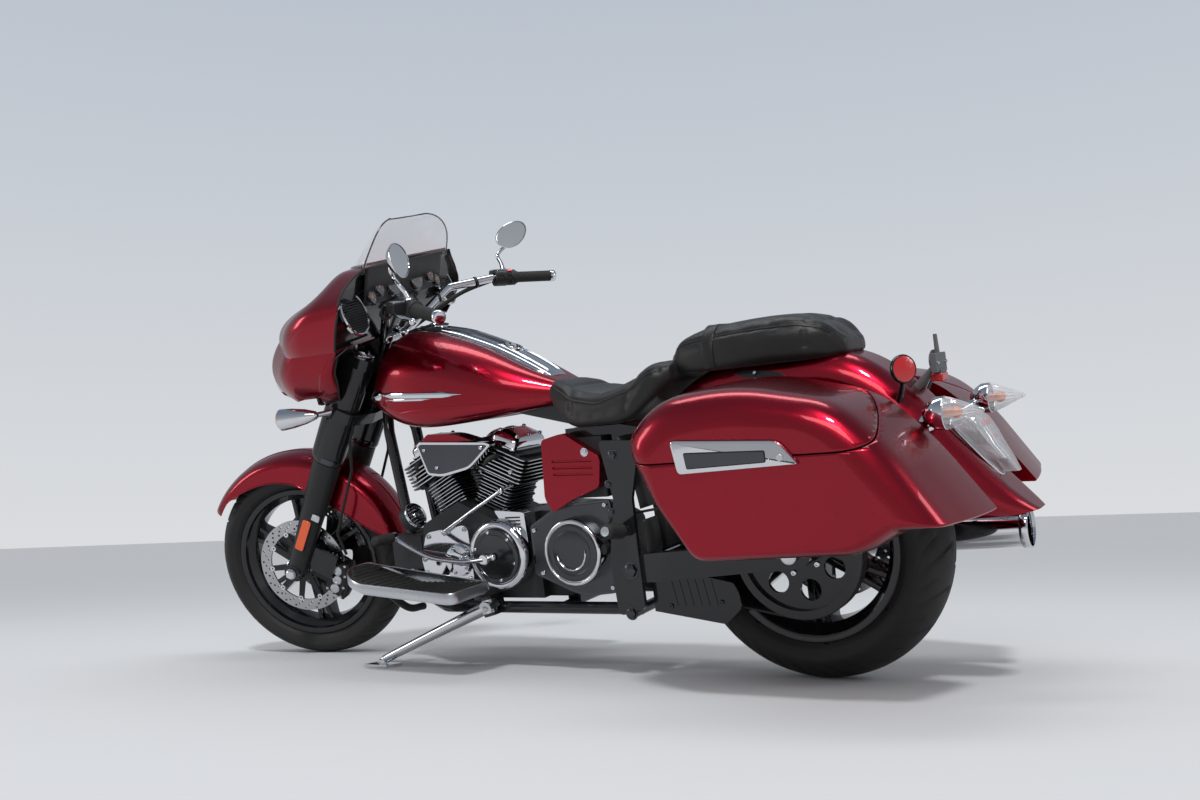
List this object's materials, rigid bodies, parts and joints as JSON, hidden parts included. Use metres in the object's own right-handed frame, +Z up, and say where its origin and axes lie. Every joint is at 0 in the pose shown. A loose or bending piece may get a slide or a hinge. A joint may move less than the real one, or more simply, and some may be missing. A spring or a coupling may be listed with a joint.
{
  "type": "touring cruiser motorcycle",
  "caption": "Touring cruiser motorcycle parked on its side stand, with a fork-mounted fairing, a finned V-twin engine and hard saddlebags.",
  "frame": {"origin": "floor point under the middle of the parked bike", "axes": "+X ahead along the bike, +Y to the rider's left, +Z up; the bike leans to +Y on its side stand"},
  "size_m": [2.5543, 1.0373, 1.3851],
  "materials": {
    "paint_red": "gloss",
    "chrome": "gloss",
    "black_metal": "gloss",
    "engine_black": "satin",
    "black_plastic": "satin",
    "gloss_black": "gloss",
    "rubber": "matte",
    "tyre_rubber": "matte",
    "leather": "satin",
    "aluminium": "satin",
    "steel": "satin",
    "clear": "gloss",
    "red_lens": "gloss"
  },
  "bodies": {
    "chassis": {"air_cleaner": "chrome", "battery_box": "black_plastic", "case_covers": "chrome", "clutch_cover": "chrome", "crankcase": "engine_black", "cylinders": "engine_black", "drive_belt": "rubber", "exhaust_pipes": "chrome", "floorboards": "aluminium", "foot_levers": "chrome", "frame": "black_metal", "fuel_tank": "paint_red", "muffler": "chrome", "pillion_seat": "leather", "plate_bracket": "black_plastic", "pulley_cover": "chrome", "rear_axle": "steel", "rear_caliper": "engine_black", "rear_fender": "paint_red", "rear_reflectors": "red_lens", "rear_signals": "chrome", "regulator_and_horn": "black_plastic", "rider_seat": "leather", "rocker_covers": "chrome", "saddlebags": "paint_red", "side_covers": "paint_red", "swingarm": "black_metal", "tail_lamp": "clear", "tank_console": "chrome", "valley_cover": "chrome"},
    "steering": {"brake_hoses": "rubber", "control_pods": "black_plastic", "fairing_inner": "gloss_black", "fairing_outer": "paint_red", "fork_legs": "black_metal", "front_axle": "steel", "front_calipers": "engine_black", "front_fender": "paint_red", "front_signals": "chrome", "grips": "rubber", "handlebar": "chrome", "headlamp": "clear", "mirrors": "chrome", "triple_clamp": "black_metal", "windshield": "clear"},
    "front_wheel": {"front_discs": "steel", "front_rim": "black_metal", "front_tyre": "tyre_rubber"},
    "rear_wheel": {"rear_disc": "steel", "rear_pulley": "aluminium", "rear_rim": "black_metal", "rear_tyre": "tyre_rubber"},
    "side_stand": {"stand_leg": "chrome"},
    "left_lid": {"latch_left": "chrome", "lid_left": "paint_red"},
    "right_lid": {"latch_right": "chrome", "lid_right": "paint_red"}
  },
  "joints": [
    {"name": "steer", "type": "hinge", "parent": "chassis", "child": "steering", "pos_m": [0.75757, 0.00657, 0.58639], "axis": [-0.5163, 0.1337, 0.8459], "range_deg": [-50, 14]},
    {"name": "front_wheel_spin", "type": "hinge", "parent": "steering", "child": "front_wheel", "pos_m": [0.96666, -0.02599, 0.30822], "axis": [-0.2652, 0.9142, -0.3063], "continuous": true},
    {"name": "rear_wheel_spin", "type": "hinge", "parent": "chassis", "child": "rear_wheel", "pos_m": [-0.74676, -0.03538, 0.32729], "axis": [-0.0006, 0.9877, -0.1564], "continuous": true},
    {"name": "side_stand_swing", "type": "hinge", "parent": "chassis", "child": "side_stand", "pos_m": [0.14866, 0.11479, 0.17253], "axis": [0.2116, 0.153, 0.9653], "range_deg": [0, 160]},
    {"name": "left_lid_hinge", "type": "hinge", "parent": "chassis", "child": "left_lid", "pos_m": [-0.77549, 0.21692, 0.66104], "axis": [1, 0, -0.0038], "range_deg": [0, 60]},
    {"name": "right_lid_hinge", "type": "hinge", "parent": "chassis", "child": "right_lid", "pos_m": [-0.77526, -0.17223, 0.72268], "axis": [-1, 0, 0.0038], "range_deg": [0, 60]}
  ]
}
